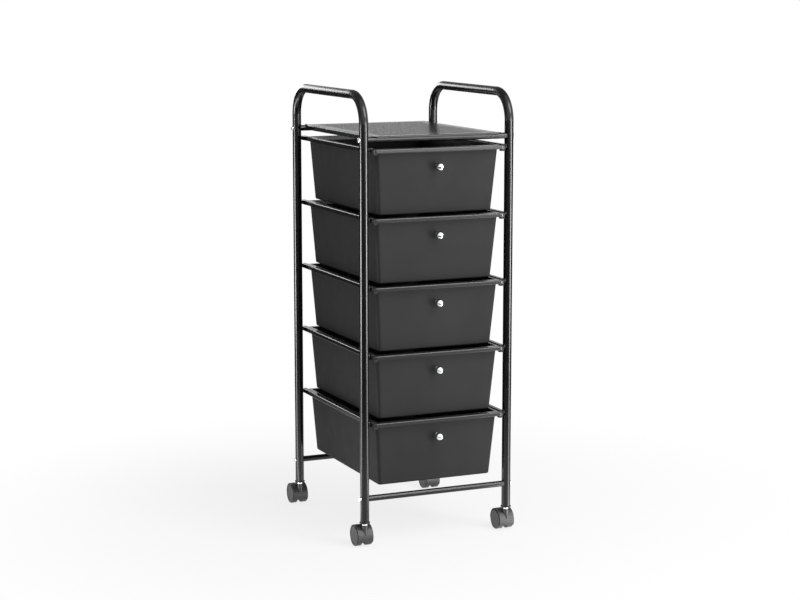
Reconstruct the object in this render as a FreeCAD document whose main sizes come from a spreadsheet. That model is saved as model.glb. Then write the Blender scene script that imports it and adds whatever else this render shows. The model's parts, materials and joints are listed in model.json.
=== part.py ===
import FreeCAD, Part

import math
import os

import Sketcher
from FreeCAD import Placement, Rotation, Vector

# A rolling trolley with five pull-out drawers: two tube hoops, four cross bars, channel rails,
# a sheet shelf and four twin-wheel casters.  Millimetres, +Z up, -Y is the drawers' front.
# The origin is on the floor, below the centre of the whole trolley's box.

# Driving dimensions, written to the spreadsheet.
DIMENSIONS = {
    # frame of bent tube
    "leg_span_wide": 312,
    "leg_span_deep": 360,
    "tube_dia": 18,
    "tube_wall": 1,
    "hoop_top": 900,
    "hoop_bend": 55,
    "leg_foot": 51,
    # the middle of the four legs stands this far in front of the origin, because the casters trail
    "legs_forward": 9,
    # cross bars, their threaded inserts and screws
    "upper_bar_height": 806,
    "lower_bar_height": 98,
    "bar_dia": 12,
    "bar_wall": 1,
    "insert_len": 14,
    "insert_setback": 0.5,
    "bar_screw_dia": 5,
    "bar_screw_head": 9.5,
    "bar_screw_head_rise": 3,
    "bar_screw_tip_gap": 3,
    "screw_clearance": 0.4,
    # channel rails under every drawer rim
    "rail_count": 5,
    "lowest_rail": 252,
    "rail_pitch": 134.5,
    "rail_size": 9,
    "rail_sheet": 1.2,
    "rail_bend": 2,
    "rail_reach": 4,
    # sheet shelf
    "shelf_wide": 274,
    "shelf_deep": 374,
    "shelf_sheet": 0.8,
    "shelf_flange": 10,
    "shelf_flange_gap": 4,
    "shelf_lip": 3,
    "shelf_corner": 6,
    # moulded drawer, measured from the top face of its rim
    "rim_wide": 287,
    "rim_front": 195,
    "rim_back": 182,
    "rim_plate": 2.4,
    "rim_lip": 6,
    "rim_apron": 8,
    "rim_corner": 9,
    "rim_top_round": 2,
    "rim_low_round": 1.2,
    "rim_drop": 1.7,
    "tub_top_wide": 264,
    "tub_top_front": 183,
    "tub_top_back": 174.5,
    "tub_base_wide": 244.6,
    "tub_base_front": 172,
    "tub_base_back": 167.5,
    "tub_deep": 130,
    "tub_wall": 2,
    "tub_corner": 7,
    "tub_base_round": 3,
    "stop_lug_wide": 8.4,
    "stop_lug_inset": 2.5,
    "stop_lug_drop": 10.5,
    "stop_gap": 1,
    # knob and its screw, on an axis square to the drawer's front
    "knob_drop": 37,
    "knob_dia": 16.6,
    "knob_reach": 21,
    "knob_neck": 7,
    "knob_foot": 10,
    "knob_foot_edge": 1.2,
    "knob_foot_rise": 2.6,
    "knob_screw_dia": 4,
    "knob_screw_head": 8,
    "knob_screw_head_rise": 2.4,
    "knob_screw_reach": 9,
    # leg plugs and caster stems
    "plug_flange": 21,
    "plug_flange_thick": 2.5,
    "plug_depth": 24,
    "plug_chamfer": 1,
    "stem_dia": 7.2,
    "stem_rise": 20,
    "stem_collar": 11,
    "stem_collar_thick": 3,
    "stem_in_hood": 13,
    "stem_end_gap": 0.5,
    "stem_chamfer": 0.8,
    "running_gap": 0.06,
    # twin-wheel casters
    "wheel_dia": 40,
    "wheel_wide": 12,
    "wheel_trail": 16,
    "wheel_gap": 0.3,
    "wheel_hub_wall": 2.5,
    "wheel_rim_thick": 3,
    "wheel_disc_thick": 2.4,
    "wheel_edge_round": 1.6,
    "wheel_face_dish": 0.5,
    "hood_web": 10,
    "hood_wide": 32,
    "hood_outer": 22.8,
    "hood_inner": 21.2,
    "hood_top": 44,
    "hood_neck": 11.4,
    "hood_neck_straight": 8,
    "hood_neck_tip_drop": 19,
    "hood_neck_tip": 2.4,
    "hood_front_low": 9,
    "hood_middle_low": 13,
    "hood_rear_low": 21,
    "axle_dia": 5,
    "axle_len": 27,
    "axle_chamfer": 0.5,
}

# A pan-head screw's shape: the head's straight side, its rounding and its cross recess, as shares.
PAN_SIDE = 0.45
PAN_ROUND = 0.6
RECESS_REACH = 0.26
RECESS_HALF_WIDE = 0.06
RECESS_DEEP = 0.6
SCREW_TIP_CHAMFER = 0.5

# Two coordinates closer than this are the same.
TINY = 1e-4

# The points of a sketch edge.
START = 1
END = 2
CENTRE = 3

# A hoop's path is straight, bend, straight, bend, straight.
HOOP_BENDS = (1, 3)

# Where the four legs stand, as the signs of x and y.
CORNERS = {
    "front_left": (-1, -1),
    "front_right": (1, -1),
    "rear_left": (-1, 1),
    "rear_right": (1, 1),
}

doc = FreeCAD.newDocument("rolling_trolley")
sheet = doc.addObject("Spreadsheet::Sheet", "Sizes")
SUB_PARTS = []


def fill_sheet():
    for row, (alias, value) in enumerate(DIMENSIONS.items(), start=1):
        sheet.set(f"A{row}", alias)
        sheet.set(f"B{row}", str(value))
        sheet.setAlias(f"B{row}", alias)
    doc.recompute()


class Size:
    """A number together with the expression that ties it to the spreadsheet."""

    def __init__(self, value, text):
        self.value = float(value)
        self.text = text

    def __add__(self, other):
        other = as_size(other)
        return Size(self.value + other.value, f"({self.text} + {other.text})")

    def __sub__(self, other):
        other = as_size(other)
        return Size(self.value - other.value, f"({self.text} - {other.text})")

    def __mul__(self, other):
        other = as_size(other)
        return Size(self.value * other.value, f"({self.text} * {other.text})")

    def __truediv__(self, other):
        other = as_size(other)
        return Size(self.value / other.value, f"({self.text} / {other.text})")

    def __neg__(self):
        return self * -1

    def __rsub__(self, other):
        return as_size(other) - self

    __radd__ = __add__
    __rmul__ = __mul__


def as_size(number):
    return number if isinstance(number, Size) else Size(number, f"({float(number)})")


def size(alias):
    return Size(sheet.get(alias), f"Sizes.{alias}")


def bind(obj, path, length):
    obj.setExpression(path, as_size(length).text)


# ---------------------------------------------------------------- sketches and features


def new_body(label):
    body = doc.addObject("PartDesign::Body", label)
    body.Label = label
    return body


def origin_plane(body, role):
    return next(f for f in body.Origin.OriginFeatures if f.Role == role)


def new_sketch(body, plane, lift=None, turn=None):
    """A sketch on one of the body's origin planes, lifted along the plane's normal."""
    sketch = body.newObject("Sketcher::SketchObject", "sketch")
    sketch.AttachmentSupport = [(origin_plane(body, plane), "")]
    sketch.MapMode = "FlatFace"
    if turn is not None:
        sketch.AttachmentOffset = turn
    if lift is not None:
        bind(sketch, "AttachmentOffset.Base.z", lift)
    return sketch


def hold(sketch, kind, first, second, length):
    """Fixes a signed distance along one sketch axis between two points."""
    length = as_size(length)
    index = sketch.addConstraint(Sketcher.Constraint(kind, *first, *second, length.value))
    bind(sketch, f"Constraints[{index}]", length)


def hold_point(sketch, geometry, end, x, y):
    origin = (-1, 1)
    hold(sketch, "DistanceX", origin, (geometry, end), x)
    hold(sketch, "DistanceY", origin, (geometry, end), y)


def hold_radius(sketch, geometry, radius):
    index = sketch.addConstraint(Sketcher.Constraint("Radius", geometry, as_size(radius).value))
    bind(sketch, f"Constraints[{index}]", radius)


def join(sketch, first, first_point, second, second_point):
    joint = Sketcher.Constraint("Coincident", first, first_point, second, second_point)
    sketch.addConstraint(joint)


def circle(sketch, diameter, x=0, y=0):
    radius = as_size(diameter) / 2
    x, y = as_size(x), as_size(y)
    shape = Part.Circle(Vector(x.value, y.value, 0), Vector(0, 0, 1), radius.value)
    geometry = sketch.addGeometry(shape, False)
    hold_radius(sketch, geometry, radius)
    hold_point(sketch, geometry, CENTRE, x, y)


def arc_between(start, end, radius, left):
    """The short arc from start to end whose centre lies on the left of that chord."""
    chord = end - start
    half = chord.Length / 2
    normal = Vector(-chord.y, chord.x, 0).normalize()
    side = 1 if left else -1
    centre = (start + end) / 2 + normal * side * math.sqrt(max(radius**2 - half**2, 0))
    toward_middle = (start + end) / 2 - centre
    if toward_middle.Length < TINY:
        toward_middle = -normal * side
    middle = centre + toward_middle.normalize() * radius
    return Part.Arc(start, middle, end)


def outline(sketch, points):
    """A closed outline.  A point is (x, y), or (x, y, radius, side) when an arc of that radius
    leaves it, with its centre on the left (+1) or right (-1) of the chord."""
    spots = [Vector(as_size(p[0]).value, as_size(p[1]).value, 0) for p in points]
    count = len(points)
    edges = []
    for i, point in enumerate(points):
        start, end = spots[i], spots[(i + 1) % count]
        if len(point) == 4:
            shape = arc_between(start, end, as_size(point[2]).value, point[3] > 0)
            turns_left = point[3] > 0
        else:
            shape = Part.LineSegment(start, end)
            turns_left = True
        edges.append((sketch.addGeometry(shape, False), turns_left))
    for i, point in enumerate(points):
        geometry, turns_left = edges[i]
        following, next_left = edges[(i + 1) % count]
        is_arc = len(point) == 4
        next_is_arc = len(points[(i + 1) % count]) == 4
        # A sketch stores every arc anticlockwise, so one that turns right is left by its start.
        first, last = (START, END) if turns_left or not is_arc else (END, START)
        next_first = START if next_left or not next_is_arc else END
        join(sketch, geometry, last, following, next_first)
        hold_point(sketch, geometry, first, point[0], point[1])
        if is_arc:
            hold_radius(sketch, geometry, point[2])


def rounded_rectangle(sketch, x_half, front, back, corner):
    """A rectangle about x = 0 from y = -front to y = back, with round corners."""
    x_half, front, back, corner = (as_size(v) for v in (x_half, front, back, corner))
    outline(sketch, [
        (x_half - corner, -front, corner, 1),
        (x_half, corner - front),
        (x_half, back - corner, corner, 1),
        (x_half - corner, back),
        (corner - x_half, back, corner, 1),
        (-x_half, back - corner),
        (-x_half, corner - front, corner, 1),
        (corner - x_half, -front),
    ])


def rectangle(sketch, left, right, low, high):
    outline(sketch, [(left, low), (right, low), (right, high), (left, high)])


def pad(body, sketch, length, midplane=False, downward=False):
    feature = body.newObject("PartDesign::Pad", "pad")
    feature.Profile = sketch
    feature.Midplane = midplane
    feature.Reversed = downward
    bind(feature, "Length", length)
    return feature


def pocket(body, sketch, length, midplane=False, along_normal=False):
    feature = body.newObject("PartDesign::Pocket", "pocket")
    feature.Profile = sketch
    feature.Midplane = midplane
    feature.Reversed = along_normal
    bind(feature, "Length", length)
    return feature


def revolve(body, sketch):
    feature = body.newObject("PartDesign::Revolution", "revolution")
    feature.Profile = sketch
    feature.ReferenceAxis = (sketch, ["V_Axis"])
    feature.Angle = 360
    return feature


def loft(body, kind, lower, upper):
    feature = body.newObject(kind, "loft")
    feature.Profile = lower
    feature.Sections = [upper]
    feature.Ruled = True
    return feature


def fillet(body, base, radius, wanted):
    """Rounds the edges of base for which wanted(edge) is true."""
    doc.recompute()
    names = [f"Edge{i}" for i, edge in enumerate(base.Shape.Edges, start=1) if wanted(edge)]
    feature = body.newObject("PartDesign::Fillet", "fillet")
    feature.Base = (base, names)
    bind(feature, "Radius", radius)
    return feature


def place(obj, x=0, y=0, z=0, turn=None):
    """Places a sub-part by its distances from the floor point between the four legs."""
    if turn is not None:
        obj.Placement = Placement(Vector(0, 0, 0), turn)
    bind(obj, "Placement.Base.x", x)
    bind(obj, "Placement.Base.y", y - size("legs_forward"))
    bind(obj, "Placement.Base.z", z)


def sub_part(obj, label):
    obj.Label = label
    SUB_PARTS.append(obj)


# ---------------------------------------------------------------- frame


def make_hoop(label, side):
    """An inverted U of round tube: a rear leg, the handle across the top and a front leg."""
    body = new_body(label)
    leg_y = size("leg_span_deep") / 2
    foot = size("leg_foot")
    top = size("hoop_top") - size("tube_dia") / 2
    bend = size("hoop_bend")
    path = new_sketch(body, "YZ_Plane")
    corners = [
        (-leg_y, foot),
        (-leg_y, top - bend),
        (bend - leg_y, top),
        (leg_y - bend, top),
        (leg_y, top - bend),
        (leg_y, foot),
    ]
    draw_bent_path(path, corners, bend)
    outer_ring = new_sketch(body, "XY_Plane", lift=foot)
    circle(outer_ring, size("tube_dia"), 0, -leg_y)
    inner_ring = new_sketch(body, "XY_Plane", lift=foot)
    circle(inner_ring, size("tube_dia") - size("tube_wall") * 2, 0, -leg_y)
    spine = [f"Edge{i}" for i in range(1, len(corners))]
    for kind, ring in (("Additive", outer_ring), ("Subtractive", inner_ring)):
        pipe = body.newObject(f"PartDesign::{kind}Pipe", "tube")
        pipe.Profile = ring
        pipe.Spine = (path, spine)
    holes = new_sketch(body, "YZ_Plane")
    for y in (-leg_y, leg_y):
        for height in (size("lower_bar_height"), size("upper_bar_height")):
            circle(holes, size("bar_screw_dia") + size("screw_clearance"), y, height)
    pocket(body, holes, size("tube_dia") * 2, midplane=True)
    place(body, x=size("leg_span_wide") / 2 * side)
    sub_part(body, label)


def draw_bent_path(sketch, corners, bend):
    """Draws an open path through the corners, with bends that turn right on the way."""
    spots = [Vector(x.value, y.value, 0) for x, y in (map(as_size, c) for c in corners)]
    for i, (start, end) in enumerate(zip(spots, spots[1:])):
        if i in HOOP_BENDS:
            shape = arc_between(start, end, bend.value, left=False)
        else:
            shape = Part.LineSegment(start, end)
        sketch.addGeometry(shape, False)
        # A sketch stores a bend that turns right from its far end to its near end.
        hold_point(sketch, i, END if i in HOOP_BENDS else START, *corners[i])
    last = len(corners) - 2
    hold_point(sketch, last, END, *corners[-1])
    for i in range(last):
        point = START if i in HOOP_BENDS else END
        join(sketch, i, point, i + 1, point)
    for i in HOOP_BENDS:
        hold_radius(sketch, i, bend)


def make_bar(label, y_sign, height):
    """A cross bar whose ends are coped to sit against the round legs."""
    body = new_body(label)
    ring = new_sketch(body, "YZ_Plane")
    circle(ring, size("bar_dia"))
    circle(ring, size("bar_dia") - size("bar_wall") * 2)
    pad(body, ring, size("leg_span_wide"), midplane=True)
    legs = new_sketch(body, "XY_Plane")
    for side in (-1, 1):
        circle(legs, size("tube_dia"), size("leg_span_wide") / 2 * side, 0)
    pocket(body, legs, size("bar_dia") * 2, midplane=True)
    place(body, y=size("leg_span_deep") / 2 * y_sign, z=height)
    sub_part(body, label)


def leg_screw_places():
    """Side, y and height of every cross-bar screw."""
    for side in (-1, 1):
        for y_sign in (-1, 1):
            for alias in ("lower_bar_height", "upper_bar_height"):
                yield side, size("leg_span_deep") / 2 * y_sign, size(alias)


def outward_turn(side):
    """Turns a body's +Z to point out of the trolley's left (-1) or right (+1) side."""
    return Rotation(Vector(0, 1, 0), 90 * side)


def make_bar_inserts():
    """Threaded plugs pressed into both ends of every cross bar."""
    plugs = []
    for side, y, height in leg_screw_places():
        plug = new_body("bar_insert")
        ring = new_sketch(plug, "XY_Plane")
        circle(ring, size("bar_dia") - size("bar_wall") * 2)
        circle(ring, size("bar_screw_dia"))
        pad(plug, ring, size("insert_len"), downward=True)
        mouth = size("leg_span_wide") / 2 - size("tube_dia") / 2 - size("insert_setback")
        place(plug, mouth * side, y, height, outward_turn(side))
        plugs.append(plug)
    group = doc.addObject("Part::Compound", "bar_inserts")
    group.Links = plugs
    sub_part(group, "bar_inserts")


def make_screw(label, kind, length):
    """A pan-head screw with a cross recess; the head's seat is at z = 0 and the shank points down."""
    body = new_body(label)
    head, head_height = size(f"{kind}_head"), size(f"{kind}_head_rise")
    shank, head_radius = size(f"{kind}_dia") / 2, head / 2
    profile = new_sketch(body, "XZ_Plane")
    outline(profile, [
        (0, -length),
        (shank - SCREW_TIP_CHAMFER, -length),
        (shank, SCREW_TIP_CHAMFER - length),
        (shank, 0),
        (head_radius, 0),
        (head_radius, head_height * PAN_SIDE, head_height * PAN_ROUND, 1),
        (head_radius - head_height * (1 - PAN_SIDE), head_height),
        (0, head_height),
    ])
    revolve(body, profile)
    recess = new_sketch(body, "XY_Plane", lift=head_height)
    long_arm, short_arm = head * RECESS_REACH, head * RECESS_HALF_WIDE
    outline(recess, [
        (-short_arm, -long_arm),
        (short_arm, -long_arm),
        (short_arm, -short_arm),
        (long_arm, -short_arm),
        (long_arm, short_arm),
        (short_arm, short_arm),
        (short_arm, long_arm),
        (-short_arm, long_arm),
        (-short_arm, short_arm),
        (-long_arm, short_arm),
        (-long_arm, -short_arm),
        (-short_arm, -short_arm),
    ])
    pocket(body, recess, head_height * RECESS_DEEP)
    return body


def make_bar_screws():
    """One screw through every leg into the cross bar's insert."""
    screws = []
    length = size("tube_dia") + size("insert_len") - size("bar_screw_tip_gap")
    for side, y, height in leg_screw_places():
        screw = make_screw("bar_screw", "bar_screw", length)
        leg_face = size("leg_span_wide") / 2 + size("tube_dia") / 2
        place(screw, leg_face * side, y, height, outward_turn(side))
        screws.append(screw)
    group = doc.addObject("Part::Compound", "bar_screws")
    group.Links = screws
    sub_part(group, "bar_screws")


def rail_top(level):
    """Height of the top of the rails at a level, where level 1 is the highest."""
    return size("lowest_rail") + size("rail_pitch") * (size("rail_count") - level)


def make_rail(label, side, level):
    """A C channel welded to the inner faces of a front and a rear leg, open towards the drawer."""
    body = new_body(label)
    wide, sheet_thick = size("rail_size"), size("rail_sheet")
    section = new_sketch(body, "XZ_Plane")
    outline(section, [
        (0, 0),
        (0, -wide),
        (wide, -wide),
        (wide, sheet_thick - wide),
        (sheet_thick, sheet_thick - wide),
        (sheet_thick, -sheet_thick),
        (wide, -sheet_thick),
        (wide, 0),
    ])
    length = size("leg_span_deep") + size("rail_reach") * 2
    channel = pad(body, section, length, midplane=True)
    fillet(body, channel, size("rail_bend"), is_outer_bend)
    leg_face = size("leg_span_wide") / 2 - size("tube_dia") / 2
    turn = Rotation(Vector(0, 0, 1), 0 if side < 0 else 180)
    place(body, leg_face * side, 0, rail_top(level), turn)
    sub_part(body, label)


def is_outer_bend(edge):
    """True for the channel's two long edges against the legs."""
    box = edge.BoundBox
    return box.YLength > DIMENSIONS["rail_size"] and abs(box.XMin) < TINY


def make_shelf():
    """A sheet deck with side flanges between the cross bars and short lips hooked over them."""
    body = new_body("shelf_panel")
    half_wide, half_deep = size("shelf_wide") / 2, size("shelf_deep") / 2
    thick, corner = size("shelf_sheet"), size("shelf_corner")
    deck = new_sketch(body, "XY_Plane")
    rounded_rectangle(deck, half_wide, half_deep, half_deep, corner)
    pad(body, deck, thick, downward=True)
    flanges = new_sketch(body, "XZ_Plane")
    rectangle(flanges, -half_wide, thick - half_wide, -size("shelf_flange"), -thick / 2)
    rectangle(flanges, half_wide - thick, half_wide, -size("shelf_flange"), -thick / 2)
    between_bars = size("leg_span_deep") - size("bar_dia") - size("shelf_flange_gap") * 2
    pad(body, flanges, between_bars, midplane=True)
    lips = new_sketch(body, "YZ_Plane")
    rectangle(lips, -half_deep, thick - half_deep, -size("shelf_lip"), -thick / 2)
    rectangle(lips, half_deep - thick, half_deep, -size("shelf_lip"), -thick / 2)
    pad(body, lips, size("shelf_wide") - corner * 2, midplane=True)
    place(body, z=size("upper_bar_height") + size("bar_dia") / 2 + thick)
    sub_part(body, "shelf_panel")


# ---------------------------------------------------------------- drawers


def drawer_top(level):
    return rail_top(level) - size("rim_drop")


def tub_size(name, drop):
    """One of the tapered tub's sizes at a drop below its top."""
    top, base = size(f"tub_top_{name}"), size(f"tub_base_{name}")
    return top - (top - base) * drop / size("tub_deep")


def tub_sketch(body, drop, wall):
    """The tub's outline at a drop below its top, drawn in by a wall."""
    sketch = new_sketch(body, "XY_Plane", lift=-drop)
    rounded_rectangle(
        sketch,
        tub_size("wide", drop) / 2 - wall,
        tub_size("front", drop) - wall,
        tub_size("back", drop) - wall,
        size("tub_corner") - wall,
    )
    return sketch


def make_drawer(level):
    """An open moulded tub with a turned-down rim that slides in the channel rails."""
    label = f"drawer_{level}"
    body = new_body(label)
    deep, wall, top = size("tub_deep"), size("tub_wall"), as_size(0)
    add_rim_blank(body)
    shorten_side_lips(body)
    hollow_rim(body)
    add_stop_lugs(body)
    outside = tub_sketch(body, deep, 0), tub_sketch(body, top, 0)
    tub = loft(body, "PartDesign::AdditiveLoft", *outside)
    fillet(body, tub, size("tub_base_round"), is_tub_base)
    inside = tub_sketch(body, deep - wall, wall), tub_sketch(body, top, wall)
    loft(body, "PartDesign::SubtractiveLoft", *inside)
    cut_knob_hole(body)
    place(body, z=drawer_top(level))
    sub_part(body, label)


def add_rim_blank(body):
    """A solid slab as deep as the front apron, rounded where its faces meet its sides."""
    rim = new_sketch(body, "XY_Plane")
    half_wide, corner = size("rim_wide") / 2, size("rim_corner")
    rounded_rectangle(rim, half_wide, size("rim_front"), size("rim_back"), corner)
    slab = pad(body, rim, size("rim_apron"), downward=True)
    top = fillet(body, slab, size("rim_top_round"), is_rim_top)
    fillet(body, top, size("rim_low_round"), is_rim_bottom)


def is_rim_top(edge):
    return edge.BoundBox.ZMin > -TINY


def is_rim_bottom(edge):
    return edge.BoundBox.ZMax < TINY - DIMENSIONS["rim_apron"]


def shorten_side_lips(body):
    """The lip is deep only across the front, so that its sides and back clear the channels."""
    behind = new_sketch(body, "XY_Plane", lift=-size("rim_apron"))
    rectangle(behind, -size("rim_wide"), size("rim_wide"), -apron_back(), size("rim_back") * 2)
    pocket(body, behind, size("rim_apron") - size("rim_lip"), along_normal=True)


def apron_back():
    """How far in front of the tub's middle the rails end, with the stop's gap added."""
    return size("leg_span_deep") / 2 + size("rail_reach") + size("stop_gap")


def hollow_rim(body):
    """Leaves the rim a thin plate with a lip round its outer edge."""
    thick = size("rim_plate")
    inside = new_sketch(body, "XY_Plane", lift=-thick)
    rounded_rectangle(
        inside,
        size("rim_wide") / 2 - thick,
        size("rim_front") - thick,
        size("rim_back") - thick,
        size("rim_corner") - thick,
    )
    pocket(body, inside, size("rim_apron") * 2)


def add_stop_lugs(body):
    """Two lugs behind the apron meet the rails' front ends and stop the closed drawer."""
    lugs = new_sketch(body, "XY_Plane", lift=-size("rim_plate") / 2)
    outer = size("rim_wide") / 2 - size("stop_lug_inset")
    inner = outer - size("stop_lug_wide")
    front = size("rim_front") - size("rim_plate") / 2
    rectangle(lugs, inner, outer, -front, -apron_back())
    rectangle(lugs, -outer, -inner, -front, -apron_back())
    pad(body, lugs, size("stop_lug_drop"), downward=True)


def is_tub_base(edge):
    return edge.BoundBox.ZMax < TINY - DIMENSIONS["tub_deep"]


def front_lean():
    """How far, in degrees, the tub's front leans back towards its base."""
    run = size("tub_top_front").value - size("tub_base_front").value
    return math.degrees(math.atan2(run, size("tub_deep").value))


def facing_front():
    """Turns a body's +Z to stand square out of the tub's leaning front."""
    return Rotation(Vector(1, 0, 0), 90 + front_lean())


def cut_knob_hole(body):
    hole = new_sketch(body, "XY_Plane", turn=Placement(Vector(0, 0, 0), facing_front()))
    bind(hole, "AttachmentOffset.Base.y", -tub_size("front", size("knob_drop")))
    bind(hole, "AttachmentOffset.Base.z", -size("knob_drop"))
    circle(hole, size("knob_screw_dia") + size("screw_clearance"))
    pocket(body, hole, size("tub_wall") * 6, midplane=True)


def place_on_front(body, level, inward, turn):
    """Places a body on the knob's axis, so far inside the tub's leaning front."""
    lean = math.radians(front_lean())
    y = inward * math.cos(lean) - tub_size("front", size("knob_drop"))
    z = inward * math.sin(lean) - size("knob_drop")
    place(body, 0, y, drawer_top(level) + z, turn)


def make_knob(level):
    """A round chromed knob with a narrow neck and a flat foot, bored for its screw."""
    label = f"drawer_knob_{level}"
    body = new_body(label)
    radius, reach = size("knob_dia") / 2, size("knob_reach")
    neck, foot, bore = size("knob_neck") / 2, size("knob_foot") / 2, size("knob_screw_dia") / 2
    centre = reach - radius
    ball_start = centre.value - math.sqrt(radius.value**2 - neck.value**2)
    profile = new_sketch(body, "XZ_Plane")
    outline(profile, [
        (bore, 0),
        (foot, 0),
        (foot, size("knob_foot_edge")),
        (neck, size("knob_foot_rise")),
        (neck, ball_start, radius, 1),
        (0, reach),
        (0, centre),
        (bore, centre),
    ])
    revolve(body, profile)
    place_on_front(body, level, as_size(0), facing_front())
    sub_part(body, label)


def make_knob_screw(level):
    """The screw that holds a knob, put in from inside the tub with its head against the wall."""
    label = f"knob_screw_{level}"
    body = make_screw(label, "knob_screw", size("tub_wall") + size("knob_screw_reach"))
    wall_along_axis = size("tub_wall") * math.cos(math.radians(front_lean()))
    facing_back = Rotation(Vector(1, 0, 0), 270 + front_lean())
    place_on_front(body, level, wall_along_axis, facing_back)
    sub_part(body, label)


# ---------------------------------------------------------------- feet


def make_plug(corner):
    """A plastic plug in the end of a leg, with a flange under the tube and a bore for the stem."""
    label = f"leg_plug_{corner}"
    body = new_body(label)
    insert = size("tube_dia") / 2 - size("tube_wall")
    flange, bore = size("plug_flange") / 2, size("stem_dia") / 2
    thick, depth, chamfer = size("plug_flange_thick"), size("plug_depth"), size("plug_chamfer")
    profile = new_sketch(body, "XZ_Plane")
    outline(profile, [
        (bore, -thick),
        (flange - chamfer, -thick),
        (flange, chamfer - thick),
        (flange, 0),
        (insert, 0),
        (insert, depth - chamfer),
        (insert - chamfer, depth),
        (bore, depth),
    ])
    revolve(body, profile)
    place_at_corner(body, corner, z=size("leg_foot"))
    sub_part(body, label)


def place_at_corner(body, corner, x=0, y=0, z=0, turn=None):
    x_sign, y_sign = CORNERS[corner]
    leg_x = size("leg_span_wide") / 2 * x_sign
    leg_y = size("leg_span_deep") / 2 * y_sign
    place(body, leg_x + x, leg_y + y, z, turn)


def make_stem(corner):
    """A steel stem pressed into the plug; the hood turns on its lower end."""
    label = f"caster_stem_{corner}"
    body = new_body(label)
    radius, collar, chamfer = size("stem_dia") / 2, size("stem_collar") / 2, size("stem_chamfer")
    seat = size("leg_foot") - size("plug_flange_thick")
    collar_low = seat - size("stem_collar_thick")
    top = size("leg_foot") + size("stem_rise")
    bottom = size("hood_top") - size("stem_in_hood")
    profile = new_sketch(body, "XZ_Plane")
    outline(profile, [
        (0, bottom),
        (radius - chamfer, bottom),
        (radius, bottom + chamfer),
        (radius, collar_low),
        (collar, collar_low),
        (collar, seat),
        (radius, seat),
        (radius, top - chamfer),
        (radius - chamfer, top),
        (0, top),
    ])
    revolve(body, profile)
    place_at_corner(body, corner)
    sub_part(body, label)


def make_hood(corner):
    """The caster body: a web between the wheels, a fender over them and a neck round the stem."""
    label = f"caster_hood_{corner}"
    body = new_body(label)
    trail, axle_height = size("wheel_trail"), size("wheel_dia") / 2
    outer = size("hood_outer")
    add_fender_blank(body, trail, axle_height, outer)
    add_neck(body, trail, outer)
    clear_wheels(body, trail, axle_height)
    bore_hood(body, trail, axle_height)
    place_at_corner(body, corner)
    sub_part(body, label)


def add_fender_blank(body, trail, axle_height, outer):
    """A full-width disc, open below a bent line that falls from its rear to low on its front."""
    disc = new_sketch(body, "YZ_Plane")
    circle(disc, outer * 2, trail, axle_height)
    pad(body, disc, size("hood_wide"), midplane=True)
    opening = new_sketch(body, "YZ_Plane")
    beyond, below = outer * 1.2, -outer
    outline(opening, [
        (trail + beyond, size("hood_rear_low")),
        (trail + outer / 3, size("hood_middle_low")),
        (trail - beyond, size("hood_front_low")),
        (trail - beyond, below),
        (trail + beyond, below),
    ])
    pocket(body, opening, size("hood_wide") * 2, midplane=True)


def add_neck(body, trail, outer):
    """A round neck under the stem that runs out to a point down the front of the fender."""
    straight, tip_radius = size("hood_neck_straight"), size("hood_neck_tip") / 2
    collar_low = size("hood_top") - straight
    collar = new_sketch(body, "XY_Plane", lift=collar_low)
    circle(collar, size("hood_neck"))
    pad(body, collar, straight)
    top = new_sketch(body, "XY_Plane", lift=collar_low)
    circle(top, size("hood_neck"))
    tip = new_sketch(body, "XY_Plane", lift=size("hood_top") - size("hood_neck_tip_drop"))
    circle(tip, tip_radius * 2, 0, trail - outer + tip_radius / 2)
    loft(body, "PartDesign::AdditiveLoft", tip, top)


def clear_wheels(body, trail, axle_height):
    """Round spaces on both sides of the web, in which the wheels turn."""
    for side in (-1, 1):
        space = new_sketch(body, "YZ_Plane", lift=size("hood_web") / 2 * side)
        circle(space, size("hood_inner") * 2, trail, axle_height)
        pocket(body, space, size("hood_wide"), along_normal=side > 0)


def bore_hood(body, trail, axle_height):
    stem_bore = new_sketch(body, "XY_Plane", lift=size("hood_top"))
    circle(stem_bore, size("stem_dia") + size("running_gap") * 2)
    pocket(body, stem_bore, size("stem_in_hood") + size("stem_end_gap"))
    axle_bore = new_sketch(body, "YZ_Plane")
    circle(axle_bore, size("axle_dia"), trail, axle_height)
    pocket(body, axle_bore, size("hood_wide") * 2, midplane=True)


def make_axle(corner):
    """A steel pin pressed through the hood's web, on which both wheels run."""
    label = f"caster_axle_{corner}"
    body = new_body(label)
    radius, half, chamfer = size("axle_dia") / 2, size("axle_len") / 2, size("axle_chamfer")
    profile = new_sketch(body, "XZ_Plane")
    outline(profile, [
        (0, -half),
        (radius - chamfer, -half),
        (radius, chamfer - half),
        (radius, half - chamfer),
        (radius - chamfer, half),
        (0, half),
    ])
    revolve(body, profile)
    turn = Rotation(Vector(0, 1, 0), 90)
    place_at_corner(body, corner, 0, size("wheel_trail"), size("wheel_dia") / 2, turn)
    sub_part(body, label)


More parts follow.
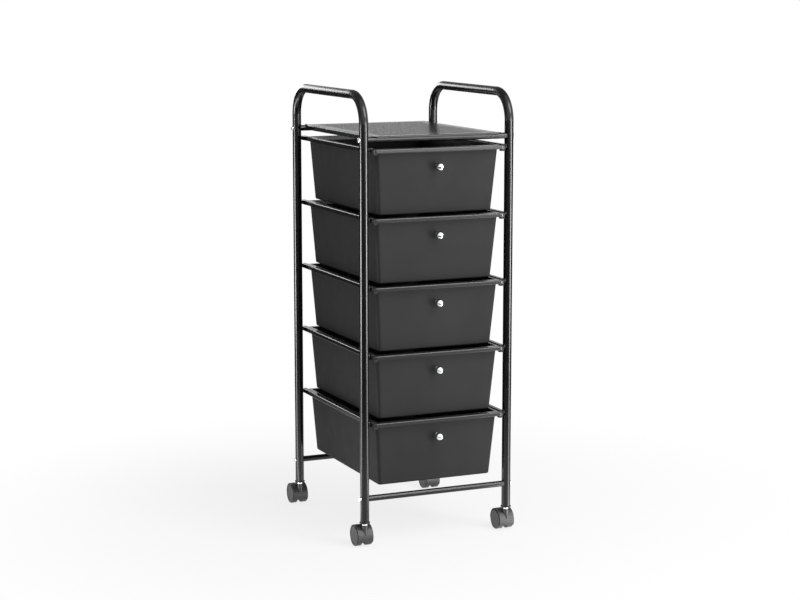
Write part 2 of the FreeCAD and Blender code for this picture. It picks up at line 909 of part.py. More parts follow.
def make_wheel(corner, side_name, side):
    """A dished plastic wheel: plain outside, hollow towards the web, with a blind bored hub."""
    label = f"caster_wheel_{corner}_{side_name}"
    body = new_body(label)
    radius, wide, gap = size("wheel_dia") / 2, size("wheel_wide"), size("wheel_gap")
    bore = size("axle_dia") / 2 + size("running_gap")
    hub = bore + size("wheel_hub_wall")
    rim_inside = radius - size("wheel_rim_thick")
    disc_inside = wide - size("wheel_disc_thick")
    edge, dish = size("wheel_edge_round"), size("wheel_face_dish")
    bore_end = size("axle_len") / 2 - size("hood_web") / 2 + gap
    profile = new_sketch(body, "XZ_Plane")
    outline(profile, [
        (0, bore_end),
        (bore, bore_end),
        (bore, 0),
        (hub, 0),
        (hub, disc_inside - dish),
        (rim_inside, disc_inside),
        (rim_inside, gap),
        (radius - gap, gap),
        (radius, gap * 2),
        (radius, wide - edge, edge, 1),
        (radius - edge, wide),
        (rim_inside, wide),
        (rim_inside - dish, wide - dish),
        (0, wide - dish),
    ])
    revolve(body, profile)
    inner_face = (size("hood_web") / 2 + gap) * side
    axle_height = size("wheel_dia") / 2
    place_at_corner(body, corner, inner_face, size("wheel_trail"), axle_height, outward_turn(side))
    sub_part(body, label)


# ---------------------------------------------------------------- whole trolley


def make_frame():
    for name, side in (("left", -1), ("right", 1)):
        make_hoop(f"{name}_frame_hoop", side)
        for level in range(1, DIMENSIONS["rail_count"] + 1):
            make_rail(f"{name}_rail_{level}", side, level)
    make_bar("shelf_front_bar", -1, size("upper_bar_height"))
    make_bar("shelf_rear_bar", 1, size("upper_bar_height"))
    make_bar("bottom_front_bar", -1, size("lower_bar_height"))
    make_bar("bottom_rear_bar", 1, size("lower_bar_height"))
    make_bar_inserts()
    make_bar_screws()
    make_shelf()


def make_drawers():
    for level in range(1, DIMENSIONS["rail_count"] + 1):
        make_drawer(level)
        make_knob(level)
        make_knob_screw(level)


def make_feet():
    for corner in CORNERS:
        make_plug(corner)
        make_stem(corner)
        make_hood(corner)
        make_axle(corner)
        make_wheel(corner, "left", -1)
        make_wheel(corner, "right", 1)


def check_document():
    failed = [o.Label for o in doc.Objects if "Invalid" in o.State or "Error" in o.State]
    if failed:
        raise RuntimeError(f"objects that failed to compute: {failed}")
    for obj in SUB_PARTS:
        if obj.Shape.isNull() or not obj.Shape.isValid():
            raise RuntimeError(f"{obj.Label} has no valid shape")


def export_parts():
    os.makedirs("parts", exist_ok=True)
    for obj in SUB_PARTS:
        obj.Shape.exportStep(f"parts/{obj.Label}.step")


fill_sheet()
make_frame()
make_drawers()
make_feet()
doc.recompute()
check_document()
export_parts()
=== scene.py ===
import json
import math

import bmesh
import bpy
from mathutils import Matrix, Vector


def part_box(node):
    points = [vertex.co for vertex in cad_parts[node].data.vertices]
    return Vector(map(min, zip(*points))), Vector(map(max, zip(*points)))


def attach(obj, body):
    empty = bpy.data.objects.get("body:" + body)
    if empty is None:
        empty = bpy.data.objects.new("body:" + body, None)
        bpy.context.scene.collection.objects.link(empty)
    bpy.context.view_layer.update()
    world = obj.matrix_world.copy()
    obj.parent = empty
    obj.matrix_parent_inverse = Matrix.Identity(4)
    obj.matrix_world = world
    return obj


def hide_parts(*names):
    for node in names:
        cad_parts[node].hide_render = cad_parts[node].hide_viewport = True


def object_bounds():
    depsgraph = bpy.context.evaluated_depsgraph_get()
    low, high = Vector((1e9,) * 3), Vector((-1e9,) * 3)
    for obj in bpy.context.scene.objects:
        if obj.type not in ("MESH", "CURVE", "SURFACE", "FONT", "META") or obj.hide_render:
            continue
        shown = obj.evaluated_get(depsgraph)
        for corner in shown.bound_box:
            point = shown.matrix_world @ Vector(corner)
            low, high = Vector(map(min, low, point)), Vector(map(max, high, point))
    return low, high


# The looks of the rolling trolley.  Metres, +Z up, -Y is the drawers' front.

MM = 0.001

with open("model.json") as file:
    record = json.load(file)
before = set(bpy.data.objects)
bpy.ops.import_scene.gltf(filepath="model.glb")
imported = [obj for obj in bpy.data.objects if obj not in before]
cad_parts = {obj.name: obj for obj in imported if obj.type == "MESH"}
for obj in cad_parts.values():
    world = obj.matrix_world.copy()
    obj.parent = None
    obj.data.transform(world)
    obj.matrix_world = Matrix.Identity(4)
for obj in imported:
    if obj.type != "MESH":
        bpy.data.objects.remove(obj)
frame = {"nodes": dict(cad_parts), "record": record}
cad_low, cad_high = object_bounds()
nodes = frame["nodes"]
scene = bpy.context.scene
scene.view_settings.view_transform = "Standard"


# ---------------------------------------------------------------- materials

# A mix node's sockets share names, so they are found by their places.
MIX_FACTOR = 0
NUMBER_A, NUMBER_B, NUMBER_RESULT = 2, 3, 0
COLOUR_A, COLOUR_B, COLOUR_RESULT = 6, 7, 2

# The rim reaches this far down a drawer, and the painted shade of a knob's neck this far out from
# its foot.  Each piece keeps the place of its end in a property of this name.
RIM_TOP, RIM_DEEP = "rim_top", 8.6 * MM
KNOB_FOOT, KNOB_SHADE_REACH = "knob_foot", 8 * MM
END_BLUR = 0.5 * MM

TUB_GLOSS, RIM_GLOSS = 0.08, 0.5
RIM_ROUGHNESS = 0.2
# Painted shade: the knob's neck and foot keep this share of the chrome's colour.
NECK_SHADE_SHARE = 0.12


class Surface:
    """A Principled material whose patterns are measured in the piece's own metres."""

    def __init__(self, name, roughness, metallic=0.0, gloss=0.5, round_edges=0.0):
        self.material = bpy.data.materials.new(name)
        self.material.use_nodes = True
        tree = self.material.node_tree
        self.nodes = tree.nodes
        self.link = tree.links.new
        self.shader = self.nodes["Principled BSDF"]
        self.shader.inputs["Roughness"].default_value = roughness
        self.shader.inputs["Metallic"].default_value = metallic
        self.shader.inputs["Specular IOR Level"].default_value = gloss
        self.place = self.nodes.new("ShaderNodeTexCoord").outputs["Object"]
        self.normal = None
        if round_edges:
            bevel = self.nodes.new("ShaderNodeBevel")
            bevel.samples = 4
            bevel.inputs["Radius"].default_value = round_edges
            self.set_normal(bevel.outputs["Normal"])

    def set_normal(self, socket):
        self.normal = socket
        self.link(socket, self.shader.inputs["Normal"])

    def noise(self, per_metre, detail=2.0, stretch=(1, 1, 1)):
        """Cloudy grey values whose lumps repeat about so many times in a metre."""
        mapping = self.nodes.new("ShaderNodeMapping")
        mapping.inputs["Scale"].default_value = stretch
        self.link(self.place, mapping.inputs["Vector"])
        texture = self.nodes.new("ShaderNodeTexNoise")
        texture.inputs["Scale"].default_value = per_metre
        texture.inputs["Detail"].default_value = detail
        self.link(mapping.outputs["Vector"], texture.inputs["Vector"])
        return texture.outputs["Fac"]

    def cells(self, per_metre):
        """Rounded grains, as spark erosion leaves in a mould."""
        texture = self.nodes.new("ShaderNodeTexVoronoi")
        texture.feature = "SMOOTH_F1"
        texture.inputs["Scale"].default_value = per_metre
        self.link(self.place, texture.inputs["Vector"])
        return texture.outputs["Distance"]

    def between(self, value, low, high):
        """The value's middle part spread from low to high."""
        ramp = self.nodes.new("ShaderNodeMapRange")
        ramp.inputs["From Min"].default_value = 0.3
        ramp.inputs["From Max"].default_value = 0.7
        ramp.inputs["To Min"].default_value = low
        ramp.inputs["To Max"].default_value = high
        self.link(value, ramp.inputs["Value"])
        return ramp.outputs["Result"]

    def colour(self, dark, light, value):
        """Sets the colour between a dark and a light one."""
        mix = self.nodes.new("ShaderNodeMix")
        mix.data_type = "RGBA"
        mix.inputs[COLOUR_A].default_value = (*dark, 1)
        mix.inputs[COLOUR_B].default_value = (*light, 1)
        self.link(value, mix.inputs[MIX_FACTOR])
        self.link(mix.outputs[COLOUR_RESULT], self.shader.inputs["Base Color"])

    def paint_shade(self, share, value):
        """Paints shade: takes the colour so far down to a share of itself where the value is 1."""
        socket = self.shader.inputs["Base Color"]
        mix = self.nodes.new("ShaderNodeMix")
        mix.data_type = "RGBA"
        mix.blend_type = "MULTIPLY"
        mix.inputs[COLOUR_B].default_value = (share, share, share, 1)
        self.link(value, mix.inputs[MIX_FACTOR])
        self.link(socket.links[0].from_socket, mix.inputs[COLOUR_A])
        self.link(mix.outputs[COLOUR_RESULT], socket)

    def roughness(self, value):
        self.rough_value = value
        self.link(value, self.shader.inputs["Roughness"])

    def near_end(self, axis, property_name, reach):
        """1 within reach of the piece's end along an axis, and 0 before that."""
        end = self.nodes.new("ShaderNodeAttribute")
        end.attribute_type = "OBJECT"
        end.attribute_name = property_name
        axes = self.nodes.new("ShaderNodeSeparateXYZ")
        self.link(self.place, axes.inputs["Vector"])
        past = self.nodes.new("ShaderNodeMath")
        past.operation = "SUBTRACT"
        self.link(axes.outputs[axis], past.inputs[0])
        self.link(end.outputs["Fac"], past.inputs[1])
        step = self.nodes.new("ShaderNodeMapRange")
        step.inputs["From Min"].default_value = -reach - END_BLUR
        step.inputs["From Max"].default_value = -reach + END_BLUR
        self.link(past.outputs["Value"], step.inputs["Value"])
        return step.outputs["Result"]

    def blend_input(self, name, low, high, value):
        """Sets a shader input between low, a number or a socket, and a high number."""
        mix = self.nodes.new("ShaderNodeMix")
        if isinstance(low, float):
            mix.inputs[NUMBER_A].default_value = low
        else:
            self.link(low, mix.inputs[NUMBER_A])
        mix.inputs[NUMBER_B].default_value = high
        self.link(value, mix.inputs[MIX_FACTOR])
        self.link(mix.outputs[NUMBER_RESULT], self.shader.inputs[name])

    def bump(self, height, depth):
        """Relief on top of the relief so far; depth is in metres."""
        bump = self.nodes.new("ShaderNodeBump")
        bump.inputs["Strength"].default_value = 1.0
        bump.inputs["Distance"].default_value = depth
        self.link(height, bump.inputs["Height"])
        if self.normal:
            self.link(self.normal, bump.inputs["Normal"])
        self.set_normal(bump.outputs["Normal"])


def grey(value, warm=0.0):
    """A grey colour, leaning to red where warm is above 0 and to blue where it is below."""
    return (value * (1 + warm), value, value * (1 - warm))


def powder_coat(name, dark, light, smooth, rough):
    """Black powder coat: a semi-gloss skin with a faint orange peel and fine mottling."""
    look = Surface(name, rough)
    look.colour(grey(dark), grey(light), look.between(look.noise(160, 4), 0, 1))
    look.roughness(look.between(look.noise(60, 3), smooth, rough))
    look.bump(look.noise(220, 1), 0.0008 * MM)
    return look.material


def moulded_plastic(name, dark, light, smooth, rough, gloss):
    """Injection moulded plastic with a fine eroded grain and slow flow marks."""
    look = Surface(name, rough, gloss=gloss, round_edges=0.7 * MM)
    flow = look.noise(9, 3, stretch=(1, 1, 0.45))
    look.colour(grey(dark), grey(light), look.between(flow, 0, 1))
    look.roughness(look.between(look.noise(35, 3), smooth, rough))
    look.bump(look.cells(1500), 0.012 * MM)
    return look


def drawer_plastic(name):
    """Grained plastic whose rim came smoother and glossier out of the mould than the tub."""
    look = moulded_plastic(name, dark=0.024, light=0.028, smooth=0.52, rough=0.6, gloss=TUB_GLOSS)
    on_rim = look.near_end("Z", RIM_TOP, RIM_DEEP)
    look.blend_input("Specular IOR Level", TUB_GLOSS, RIM_GLOSS, on_rim)
    look.blend_input("Roughness", look.rough_value, RIM_ROUGHNESS, on_rim)
    return look.material


def chrome(name):
    """Polished chrome plate with faint handling smears, and painted shade that dulls the neck and
    foot.
    """
    look = Surface(name, 0.06, metallic=1.0)
    look.colour(grey(0.86, -0.02), grey(0.95, -0.02), look.between(look.noise(120, 3), 0, 1))
    # Painted shade: the neck and foot are darkened to a share of the chrome's colour.
    look.paint_shade(NECK_SHADE_SHARE, look.near_end("Y", KNOB_FOOT, KNOB_SHADE_REACH))
    look.roughness(look.between(look.noise(260, 4), 0.03, 0.1))
    return look.material


def plated_steel(name, dark, light, smooth, rough):
    """Zinc or nickel plate with fine turning marks."""
    look = Surface(name, rough, metallic=1.0, round_edges=0.25 * MM)
    look.colour(grey(dark, -0.03), grey(light, -0.01), look.between(look.noise(700, 3), 0, 1))
    look.roughness(look.between(look.noise(900, 3), smooth, rough))
    look.bump(look.noise(1500, 2, stretch=(1, 1, 6)), 0.004 * MM)
    return look.material


MATERIAL_OF_SLOT = {
    "frame_powder_coat": powder_coat(
        "frame_coat", dark=0.002, light=0.0034, smooth=0.19, rough=0.24
    ),
    "shelf_powder_coat": powder_coat(
        "shelf_coat", dark=0.004, light=0.006, smooth=0.22, rough=0.28
    ),
    "drawer_plastic": drawer_plastic("drawer_skin"),
    "plug_plastic": moulded_plastic(
        "plug_skin", dark=0.006, light=0.009, smooth=0.38, rough=0.5, gloss=0.4
    ).material,
    "caster_plastic": moulded_plastic(
        "caster_skin", dark=0.036, light=0.046, smooth=0.36, rough=0.46, gloss=0.4
    ).material,
    "knob_chrome": chrome("chrome_plate"),
    "zinc_plated_steel": plated_steel("zinc_plate", dark=0.7, light=0.86, smooth=0.26, rough=0.38),
    "stem_steel": plated_steel("stem_plate", dark=0.78, light=0.9, smooth=0.42, rough=0.52),
}


def dress_cad_nodes():
    """Every CAD node takes the material of its slot in the record."""
    for part in frame["record"]["subparts"]:
        node = nodes[part["node"]]
        material = MATERIAL_OF_SLOT[part["material_slot"]]
        if not node.material_slots:
            node.data.materials.append(material)
        for held in node.material_slots:
            held.material = material
        if part["material_slot"] == "drawer_plastic":
            node[RIM_TOP] = max(corner[2] for corner in node.bound_box)
        if part["material_slot"] == "knob_chrome":
            node[KNOB_FOOT] = max(corner[1] for corner in node.bound_box)


# ---------------------------------------------------------------- perforated shelf

# Staggered round holes inside a plain border, and edges bent down through a small radius.  The side
# flanges stop short of the ends, where the cross bars run; the front and back have shallow lips.
HOLE_PITCH = 5.0 * MM
HOLE_RADIUS = 1.75 * MM
HOLE_SIDES = 8
PLAIN_BORDER = 20 * MM
SHEET = 0.8 * MM
SHELF_CORNER = 6 * MM
EDGE_BEND = 2.4 * MM
FLANGE_END_GAP = 17 * MM
LIP_DEEP = 3 * MM
BEND_STEPS = 5
CORNER_STEPS = 6
# Two coordinates closer than this are the same.
SAME = MM / 100


class Sheet:
    """The upper faces of a sheet, whose corners are shared by their coordinates."""

    def __init__(self):
        self.mesh = bmesh.new()
        self.points = {}

    def point(self, x, y, z=0.0):
        key = (round(x / MM, 3), round(y / MM, 3), round(z / MM, 3))
        if key not in self.points:
            self.points[key] = self.mesh.verts.new((x, y, z))
        return self.points[key]

    def face(self, *corners):
        self.mesh.faces.new([self.point(*corner) for corner in corners])

    def rectangle(self, left, right, front, back):
        self.face((left, front), (right, front), (right, back), (left, back))


def hole_point(k):
    """Corner k of a hole, from its middle."""
    angle = math.tau * k / HOLE_SIDES
    return HOLE_RADIUS * math.cos(angle), HOLE_RADIUS * math.sin(angle)


def add_hole_cell(sheet, x, y, half_x, half_y):
    """The sheet round one hole: eight faces between the hole and its rectangle."""
    around = [(1, 0), (1, 1), (0, 1), (-1, 1), (-1, 0), (-1, -1), (0, -1), (1, -1)]
    outer = [(half_x * i, half_y * j) for i, j in around]
    for k in range(HOLE_SIDES):
        after = (k + 1) % HOLE_SIDES
        ring = [outer[k], outer[after], hole_point(after), hole_point(k)]
        sheet.face(*[(x + i, y + j) for i, j in ring])


def add_hole_rows(sheet, columns, rows, half_x, half_y):
    """Staggered rows of holes; the half cells left at the ends of every other row stay plain."""
    zone_x, zone_y = columns * half_x, rows * half_y
    for row in range(rows):
        y = half_y * (2 * row + 1) - zone_y
        shift = row % 2
        for column in range(columns - shift):
            x = half_x * (2 * column + 1 + shift) - zone_x
            add_hole_cell(sheet, x, y, half_x, half_y)
        if shift:
            for left in (-zone_x, zone_x - half_x):
                sheet.rectangle(left, left + half_x, y - half_y, y)
                sheet.rectangle(left, left + half_x, y, y + half_y)


def grid_lines(zone, step_count, stops):
    """Lines across the sheet: the perforated zone's own lines between the outer stops."""
    inner = [zone * (2 * k / step_count - 1) for k in range(step_count + 1)]
    return [-stop for stop in reversed(stops)] + inner + list(stops)


def add_border(sheet, lines_x, lines_y, zone_x, zone_y, corner_x, corner_y):
    """Plain faces outside the perforated zone, but for the four corners."""
    for left, right in zip(lines_x, lines_x[1:]):
        for front, back in zip(lines_y, lines_y[1:]):
            middle_x, middle_y = abs(left + right) / 2, abs(front + back) / 2
            in_zone = middle_x < zone_x and middle_y < zone_y
            in_corner = middle_x > corner_x and middle_y > corner_y
            if not in_zone and not in_corner:
                sheet.rectangle(left, right, front, back)


def bend_profile(edge, deep):
    """Points outward and down, from the flat through the bend to the turned-down edge."""
    points = []
    for k in range(BEND_STEPS + 1):
        angle = math.pi / 2 * k / BEND_STEPS
        out = edge - EDGE_BEND + EDGE_BEND * math.sin(angle)
        points.append((out, EDGE_BEND * math.cos(angle) - EDGE_BEND))
    points.append((edge, -deep))
    return points


class SideEdge:
    """Places points by their distance out to the left (-1) or right (1) and along the edge."""

    def __init__(self, side):
        self.side = side

    def point(self, out, along, z):
        return self.side * out, along, z


class EndEdge(SideEdge):
    """Places points by their distance out to the front (-1) or back (1) and along the edge."""

    def point(self, out, along, z):
        return along, self.side * out, z


def add_turned_edge(sheet, lines, edge, deep, place_point):
    """A turned-down strip between neighbouring lines."""
    profile = bend_profile(edge, deep)
    for (out_a, z_a), (out_b, z_b) in zip(profile, profile[1:]):
        for near, far in zip(lines, lines[1:]):
            corners = [
                (out_a, near, z_a), (out_b, near, z_b), (out_b, far, z_b), (out_a, far, z_a),
            ]
            sheet.face(*[place_point(*corner) for corner in corners])


def add_flat_edge(sheet, lines, inside, outside, place_point):
    """A flat strip beside the bend, where the edge isn't turned down."""
    for near, far in zip(lines, lines[1:]):
        corners = [(inside, near), (outside, near), (outside, far), (inside, far)]
        sheet.face(*[place_point(*corner, 0.0) for corner in corners])


def add_round_corner(sheet, middle_x, middle_y, side_x, side_y):
    """A rounded corner of the deck, as a fan from its inner point."""
    rim = []
    for k in range(CORNER_STEPS + 1):
        angle = math.pi / 2 * k / CORNER_STEPS
        rim.append((SHELF_CORNER * math.cos(angle), SHELF_CORNER * math.sin(angle)))
    for a, b in zip(rim, rim[1:]):
        sheet.face(
            (side_x * middle_x, side_y * middle_y),
            (side_x * (middle_x + a[0]), side_y * (middle_y + a[1])),
            (side_x * (middle_x + b[0]), side_y * (middle_y + b[1])),
        )


def finish_piece(mesh, name, material_slot, location=(0, 0, 0)):
    """Turns a bmesh into an object that stands still with the frame."""
    bmesh.ops.recalc_face_normals(mesh, faces=mesh.faces)
    data = bpy.data.meshes.new(name)
    mesh.to_mesh(data)
    mesh.free()
    data.materials.append(MATERIAL_OF_SLOT[material_slot])
    piece = bpy.data.objects.new(name, data)
    piece.location = location
    scene.collection.objects.link(piece)
    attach(piece, "root")
    return piece


def make_shelf():
    """The perforated deck with its side flanges and its front and back lips."""
    low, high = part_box("shelf_panel")
    half_wide, half_deep = (high.x - low.x) / 2, (high.y - low.y) / 2
    half_x, half_y = HOLE_PITCH / 2, HOLE_PITCH * math.sqrt(3) / 4
    columns = int((half_wide - PLAIN_BORDER) / half_x)
    rows = int((half_deep - PLAIN_BORDER) / half_y)
    zone_x, zone_y = columns * half_x, rows * half_y
    corner_x, corner_y = half_wide - SHELF_CORNER, half_deep - SHELF_CORNER
    flat_x, flat_y = half_wide - EDGE_BEND, half_deep - EDGE_BEND
    flange_y = half_deep - FLANGE_END_GAP
    lines_x = grid_lines(zone_x, 2 * columns, [corner_x])
    lines_y = grid_lines(zone_y, 2 * rows, [flange_y, corner_y])
    sheet = Sheet()
    add_hole_rows(sheet, columns, rows, half_x, half_y)
    add_border(sheet, lines_x, lines_y, zone_x, zone_y, corner_x, corner_y)
    flange_lines = [y for y in lines_y if abs(y) <= flange_y + SAME]
    front_end = [y for y in lines_y if y <= -flange_y + SAME]
    back_end = [y for y in lines_y if y >= flange_y - SAME]
    for side in (-1, 1):
        across, along = SideEdge(side), EndEdge(side)
        add_flat_edge(sheet, lines_y, corner_x, flat_x, across.point)
        add_turned_edge(sheet, flange_lines, half_wide, high.z - low.z, across.point)
        for ends in (front_end, back_end):
            add_flat_edge(sheet, ends, flat_x, half_wide, across.point)
        add_flat_edge(sheet, lines_x, corner_y, flat_y, along.point)
        add_turned_edge(sheet, lines_x, half_deep, LIP_DEEP, along.point)
        for other in (-1, 1):
            add_round_corner(sheet, corner_x, corner_y, side, other)
    middle = (low + high) / 2
    shelf = finish_piece(sheet.mesh, "perforated_shelf", "shelf_powder_coat",
                         location=(middle.x, middle.y, high.z))
    thickness = shelf.modifiers.new("sheet", "SOLIDIFY")
    thickness.thickness = SHEET
    thickness.offset = -1
    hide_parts("shelf_panel")


# ---------------------------------------------------------------- weld beads

# Upright beads against the rails' backs, one to the front and one to the rear of each leg's line.
BEAD_RADIUS = 1.7 * MM
BEAD_ASIDE = 4.4 * MM
BEAD_OUT = 0.4 * MM
BEAD_END_GAP = 0.8 * MM
BEAD_SIDES = 8
BEAD_RINGS = 14
BEAD_RIPPLES = 4
BEAD_RIPPLE_SHARE = 0.14
RAIL_LEVELS = range(1, 6)


def add_bead(mesh, centre, tall):
    """A rippled upright bead with rounded ends."""
    ends = [mesh.verts.new(centre + Vector((0, 0, side * tall / 2))) for side in (-1, 1)]
    rings = []
    for k in range(1, BEAD_RINGS):
        share = k / BEAD_RINGS
        swell = math.sin(math.pi * share) ** 0.5
        ripple = 1 + BEAD_RIPPLE_SHARE * math.cos(math.tau * BEAD_RIPPLES * share)
        height = (share - 0.5) * tall
        ring = []
        for step in range(BEAD_SIDES):
            angle = math.tau * step / BEAD_SIDES
            around = Vector((math.cos(angle), math.sin(angle), 0)) * BEAD_RADIUS * swell * ripple
            ring.append(mesh.verts.new(centre + around + Vector((0, 0, height))))
        rings.append(ring)
    for step in range(BEAD_SIDES):
        after = (step + 1) % BEAD_SIDES
        for below, above in zip(rings, rings[1:]):
            mesh.faces.new((below[step], below[after], above[after], above[step]))
        mesh.faces.new((ends[0], rings[0][after], rings[0][step]))
        mesh.faces.new((ends[1], rings[-1][step], rings[-1][after]))


def make_welds(side, out):
    """Beads on both sides of every line where a hoop's legs touch its rails."""
    mesh = bmesh.new()
    for level in RAIL_LEVELS:
        low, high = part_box(f"{side}_rail_{level}")
        back = (high.x if out > 0 else low.x) + out * BEAD_OUT
        for end in ("front", "rear"):
            stem_low, stem_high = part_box(f"caster_stem_{end}_{side}")
            leg = (stem_low.y + stem_high.y) / 2
            for aside in (-BEAD_ASIDE, BEAD_ASIDE):
                centre = Vector((back, leg + aside, (low.z + high.z) / 2))
                add_bead(mesh, centre, high.z - low.z - BEAD_END_GAP * 2)
    for face in mesh.faces:
        face.smooth = True
    finish_piece(mesh, f"{side}_frame_welds", "frame_powder_coat")


dress_cad_nodes()
make_shelf()
make_welds("left", -1)
make_welds("right", 1)


# ---------------------------------------------------------------- studio

CAMERA_AZIMUTH = -23.77
CAMERA_ELEVATION = 9.09
CAMERA_DISTANCE = 4.031
CAMERA_LENS = 87.85
AIM_OFFSET = Vector((0.003, -0.001, 0.008))


def direction(azimuth, elevation):
    """The unit vector towards an azimuth and an elevation in degrees; 0, 0 is -Y."""
    a, e = math.radians(azimuth), math.radians(elevation)
    return Vector((math.sin(a) * math.cos(e), -math.cos(a) * math.cos(e), math.sin(e)))


def make_camera(centre):
    data = bpy.data.cameras.new("camera")
    data.lens = CAMERA_LENS
    camera = bpy.data.objects.new("camera", data)
    scene.collection.objects.link(camera)
    out = direction(CAMERA_AZIMUTH, CAMERA_ELEVATION)
    camera.location = centre + AIM_OFFSET + out * CAMERA_DISTANCE
    camera.rotation_euler = (-out).to_track_quat("-Z", "Y").to_euler()
    scene.camera = camera


def make_softbox(name, centre, azimuth, elevation, distance, wide, tall, radiance):
    """A rectangular area light that faces the object and that the camera can't see."""
    data = bpy.data.lights.new(name, "AREA")
    data.shape = "RECTANGLE"
    data.size, data.size_y = wide, tall
    data.energy = radiance * math.pi * wide * tall
    light = bpy.data.objects.new(name, data)
    out = direction(azimuth, elevation)
    light.location = centre + out * distance
    light.rotation_euler = (-out).to_track_quat("-Z", "Y").to_euler()
    light.visible_camera = False
    scene.collection.objects.link(light)
    return light


class Formula:
    """Number formulas made of shader nodes."""

    def __init__(self, tree):
        self.add = tree.nodes.new
        self.link = tree.links.new

    def set(self, socket, value):
        """Links a socket's value, or sets a number."""
        if hasattr(value, "default_value"):
            self.link(value, socket)
        else:
            socket.default_value = value

    def calc(self, operation, first, second=0.0):
        node = self.add("ShaderNodeMath")
        node.operation = operation
        self.set(node.inputs[0], first)
        self.set(node.inputs[1], second)
        return node.outputs["Value"]

    def axes_of(self, coordinates):
        axes = self.add("ShaderNodeSeparateXYZ")
        self.link(self.add("ShaderNodeTexCoord").outputs[coordinates], axes.inputs["Vector"])
        return axes.outputs

    def azimuth(self, x, y):
        """Degrees round from -Y towards +X."""
        return self.calc("DEGREES", self.calc("ARCTAN2", x, self.calc("MULTIPLY", y, -1)))

    def rise(self, value, start, end):
        """0 up to start and 1 from end on, with a soft step between."""
        node = self.add("ShaderNodeMapRange")
        node.interpolation_type = "SMOOTHSTEP"
        node.inputs["From Min"].default_value = start
        node.inputs["From Max"].default_value = end
        self.set(node.inputs["Value"], value)
        return node.outputs["Result"]

    def mix(self, factor, first, second):
        node = self.add("ShaderNodeMix")
        self.set(node.inputs[MIX_FACTOR], factor)
        self.set(node.inputs[NUMBER_A], first)
        self.set(node.inputs[NUMBER_B], second)
        return node.outputs[NUMBER_RESULT]


# Strengths of the surroundings.  FILL_LIGHT reaches matt faces; the walls are what polish mirrors.
FILL_LIGHT = 0.46
FRONT_WALL = 1.1
BACK_WALL = 0.95
HIGH_BACK_WALL = 0.25
LEFT_WALL = 0.3
# Degrees over which one mirrored wall fades into the next.
RIGHT_BACK_FADE = (70, 115)
LEFT_BACK_FADE = (-168, -178)
LEFT_FADE = (-50, -90)
HIGH_BACK_FADE = (13, 19)
HORIZON_FADE = (-4, 3)

# The floor: its own glow, and how bright it is where it is mirrored.
FLOOR_RADIUS = 8
FLOOR_CORNERS = 96
FLOOR_GREY = 0.86
FLOOR_GLOW = 0.8
NEAR_FLOOR = 0.9
FAR_FLOOR = 0.04
FLOOR_STREAK = 6.0
# Metres from the object's middle, and degrees from a streak's middle, over which those fade.
GLOW_FADE = (0.3, 1.1)
NEAR_FADE = (0.7, 1.5)
STREAK_START = (0.2, 0.35)
STREAK_SIDE = (12, 7)

# The strip lights and the floor's streaks lie in the same directions.
STRIP_AZIMUTHS = (-98, 43)


def make_world():
    """White to the camera and even to matt faces; polished ones see walls of different greys."""
    world = bpy.data.worlds.new("studio")
    world.use_nodes = True
    world.cycles.sampling_method = "NONE"
    tree = world.node_tree
    tree.nodes.clear()
    formula = Formula(tree)
    calc, rise, mix = formula.calc, formula.rise, formula.mix
    path = formula.add("ShaderNodeLightPath")
    x, y, z = formula.axes_of("Generated")
    azimuth = formula.azimuth(x, y)
    elevation = calc("DEGREES", calc("ARCSINE", z))
    right_back = rise(azimuth, *RIGHT_BACK_FADE)
    left_back = rise(azimuth, *LEFT_BACK_FADE)
    front = mix(rise(azimuth, *LEFT_FADE), FRONT_WALL, LEFT_WALL)
    back = mix(rise(elevation, *HIGH_BACK_FADE), BACK_WALL, HIGH_BACK_WALL)
    walls = mix(calc("MAXIMUM", right_back, left_back), front, back)
    mirrored = mix(rise(elevation, *HORIZON_FADE), FAR_FLOOR, walls)
    unseen = mix(path.outputs["Is Glossy Ray"], FILL_LIGHT, mirrored)
    strength = mix(path.outputs["Is Camera Ray"], unseen, 1.0)
    background = formula.add("ShaderNodeBackground")
    background.inputs["Color"].default_value = (1, 1, 1, 1)
    formula.link(strength, background.inputs["Strength"])
    surface = formula.add("ShaderNodeOutputWorld").inputs["Surface"]
    formula.link(background.outputs["Background"], surface)
    scene.world = world


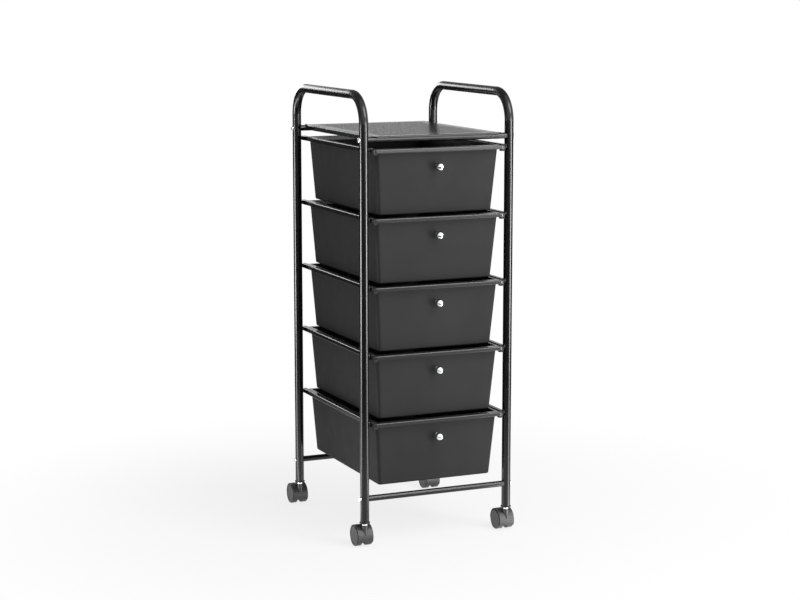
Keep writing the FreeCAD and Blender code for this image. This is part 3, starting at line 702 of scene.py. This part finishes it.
def make_floor(centre):
    """A pale floor that fades into white, and into the dark where it is mirrored."""
    mesh = bmesh.new()
    bmesh.ops.create_circle(mesh, cap_ends=True, segments=FLOOR_CORNERS, radius=FLOOR_RADIUS)
    data = bpy.data.meshes.new("studio_floor")
    mesh.to_mesh(data)
    mesh.free()
    floor = bpy.data.objects.new("studio_floor", data)
    floor.location = (centre.x, centre.y, 0)
    scene.collection.objects.link(floor)
    floor.visible_shadow = False
    material = bpy.data.materials.new("studio_floor")
    material.use_nodes = True
    tree = material.node_tree
    tree.nodes.clear()
    formula = Formula(tree)
    calc, rise, mix = formula.calc, formula.rise, formula.mix
    length = formula.add("ShaderNodeVectorMath")
    length.operation = "LENGTH"
    formula.link(formula.add("ShaderNodeTexCoord").outputs["Object"], length.inputs[0])
    away = length.outputs["Value"]
    path = formula.add("ShaderNodeLightPath")
    x, y, z = formula.axes_of("Object")
    azimuth = formula.azimuth(x, y)
    streak = 0.0
    for middle in STRIP_AZIMUTHS:
        off_middle = calc("ABSOLUTE", calc("SUBTRACT", azimuth, middle))
        streak = calc("ADD", streak, rise(off_middle, *STREAK_SIDE))
    mirrored = mix(rise(away, *NEAR_FADE), NEAR_FLOOR, FAR_FLOOR)
    mirrored = mix(calc("MULTIPLY", streak, rise(away, *STREAK_START)), mirrored, FLOOR_STREAK)
    glow = formula.add("ShaderNodeEmission")
    formula.link(mix(path.outputs["Is Glossy Ray"], 1.0, mirrored), glow.inputs["Strength"])
    matte = formula.add("ShaderNodeBsdfDiffuse")
    matte.inputs["Color"].default_value = (FLOOR_GREY, FLOOR_GREY, FLOOR_GREY, 1)
    blend = formula.add("ShaderNodeMixShader")
    shadow_free = mix(rise(away, *GLOW_FADE), FLOOR_GLOW, 1.0)
    factor, first, second = blend.inputs
    formula.link(mix(path.outputs["Is Glossy Ray"], shadow_free, 1.0), factor)
    formula.link(matte.outputs["BSDF"], first)
    formula.link(glow.outputs["Emission"], second)
    surface = formula.add("ShaderNodeOutputMaterial").inputs["Surface"]
    formula.link(blend.outputs["Shader"], surface)
    data.materials.append(material)


centre = (cad_low + cad_high) / 2
make_world()
make_floor(centre)
make_camera(centre)
key = make_softbox("key_softbox", centre, azimuth=31, elevation=5, distance=2.6,
                   wide=0.7, tall=0.9, radiance=14)
key.visible_glossy = False
make_softbox("front_softbox", centre, azimuth=25, elevation=42, distance=2.4,
             wide=1.3, tall=1.3, radiance=6.5)
for azimuth in STRIP_AZIMUTHS:
    strip = make_softbox("strip", centre, azimuth=azimuth, elevation=-11, distance=2.4,
                         wide=0.6, tall=1.4, radiance=18)
    strip.visible_diffuse = False
low_strip = make_softbox("low_strip", centre, azimuth=26, elevation=10, distance=2.4,
                         wide=1.6, tall=0.4, radiance=9)
low_strip.visible_diffuse = False
back = make_softbox("back_softbox", centre, azimuth=-170, elevation=19, distance=2.6,
                    wide=1.2, tall=0.8, radiance=6)
back.visible_diffuse = False
